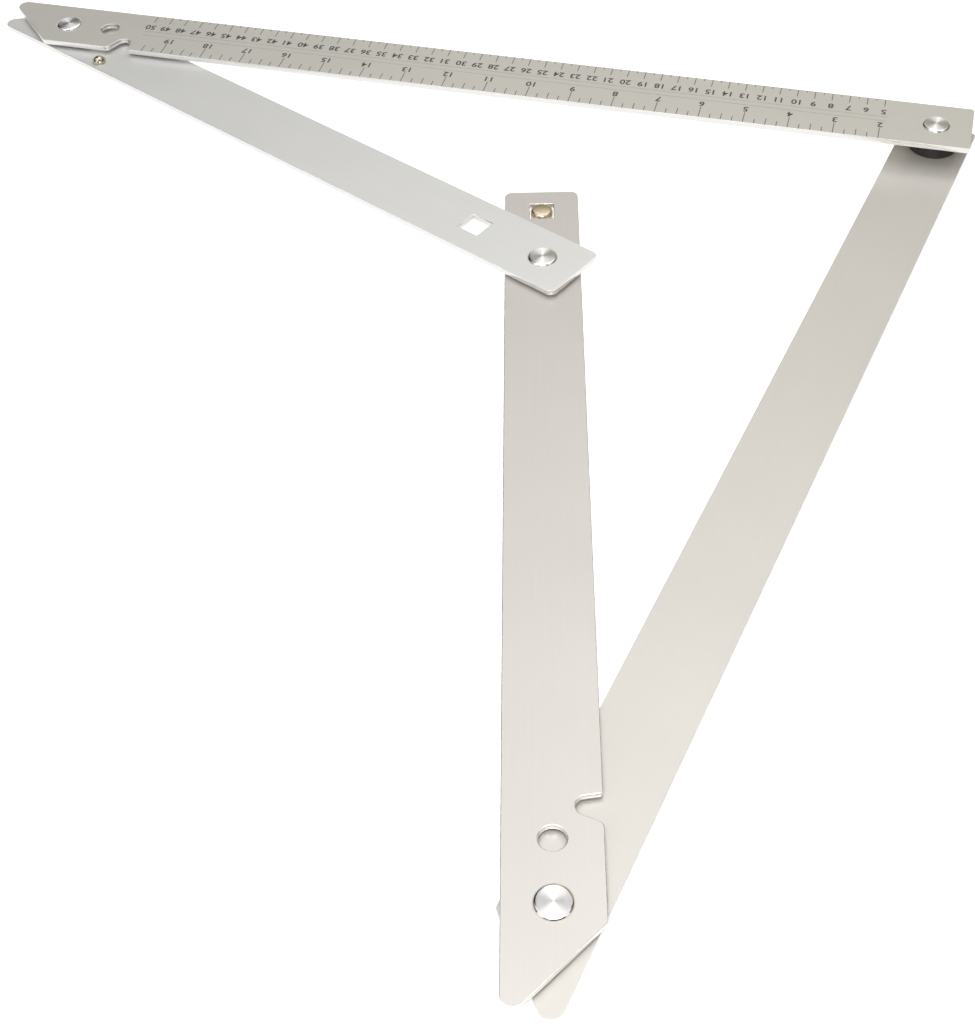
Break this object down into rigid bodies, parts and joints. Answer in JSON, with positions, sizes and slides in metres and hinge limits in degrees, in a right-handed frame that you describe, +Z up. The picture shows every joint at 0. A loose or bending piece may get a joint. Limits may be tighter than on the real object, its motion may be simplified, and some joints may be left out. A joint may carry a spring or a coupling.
{
  "type": "folding square",
  "caption": "Folding square of flat riveted bars: legs with a printed rule open to a right angle, held by a folding brace with a spring catch, and stack flat for storage.",
  "frame": {"origin": "on the corner pivot's axis, at the underside of the lowest bar, which lies on the bench", "axes": "+Z up through the layers; the ruler leg runs from the corner along -X, with its outer edge on +Y"},
  "size_m": [0.5989, 0.5892, 0.0177],
  "materials": {
    "ruler_aluminium": "satin anodised, printed rule",
    "bar_aluminium": "satin anodised",
    "rivet_steel": "turned bright",
    "washer_black": "moulded",
    "catch_steel": "polished, warm nickel plate",
    "spring_steel": "blued spring strip"
  },
  "bodies": {
    "leg": {"leg_bar": "bar_aluminium"},
    "corner_pivot": {"corner_rivet": "rivet_steel", "corner_washer_1": "washer_black", "corner_washer_2": "washer_black", "corner_washer_3": "washer_black", "corner_washer_4": "washer_black", "corner_washer_5": "washer_black", "corner_washer_6": "washer_black", "corner_washer_7": "washer_black"},
    "ruler": {"ruler_bar": "ruler_aluminium"},
    "ruler_tip_pivot": {"ruler_tip_rivet": "rivet_steel", "ruler_tip_washer": "washer_black"},
    "upper_brace": {"upper_brace": "bar_aluminium", "brace_rivet_head": "rivet_steel", "stop_pin": "catch_steel"},
    "leg_tip_pivot": {"leg_tip_rivet": "rivet_steel", "leg_tip_washer": "washer_black"},
    "lower_brace": {"lower_brace": "bar_aluminium", "brace_rivet_post": "rivet_steel", "brace_washer": "washer_black", "latch_spring": "spring_steel"},
    "catch": {"catch_button": "catch_steel"}
  },
  "joints": [
    {"name": "corner_fold", "type": "hinge", "parent": "leg", "child": "corner_pivot", "pos_m": [0, 0, 0.009], "axis": [0, 0, 1], "range_deg": [0, 79.3]},
    {"name": "corner_open", "type": "hinge", "parent": "corner_pivot", "child": "ruler", "pos_m": [0, 0, 0.009], "axis": [0, 0, 1], "range_deg": [-10.7, 0]},
    {"name": "ruler_tip_fold", "type": "hinge", "parent": "ruler", "child": "ruler_tip_pivot", "pos_m": [-0.53172, 0, 0.01125], "axis": [0, 0, 1], "range_deg": [0, 24.83]},
    {"name": "ruler_tip_open", "type": "hinge", "parent": "ruler_tip_pivot", "child": "upper_brace", "pos_m": [-0.53172, 0, 0.01125], "axis": [0, 0, 1], "range_deg": [-20.18, 0]},
    {"name": "leg_tip_fold", "type": "hinge", "parent": "leg", "child": "leg_tip_pivot", "pos_m": [-0.09872, -0.52247, 0.00225], "axis": [0, 0, 1], "range_deg": [-24.83, 0]},
    {"name": "leg_tip_open", "type": "hinge", "parent": "leg_tip_pivot", "child": "lower_brace", "pos_m": [-0.09872, -0.52247, 0.00225], "axis": [0, 0, 1], "range_deg": [0, 20.18]},
    {"name": "catch_press", "type": "slide", "parent": "lower_brace", "child": "catch", "axis": [0, 0, 1], "range_m": [0, 0.00075], "stiffness_N_per_m": 600, "springref_m": 0.00075}
  ],
  "couplings": [
    {"joint": "ruler_tip_fold", "follows": "corner_fold", "ratio": 0.31306},
    {"joint": "leg_tip_fold", "follows": "corner_fold", "ratio": -0.31306},
    {"joint": "ruler_tip_open", "follows": "corner_open", "ratio": 1.8854},
    {"joint": "leg_tip_open", "follows": "corner_open", "ratio": -1.8854}
  ]
}
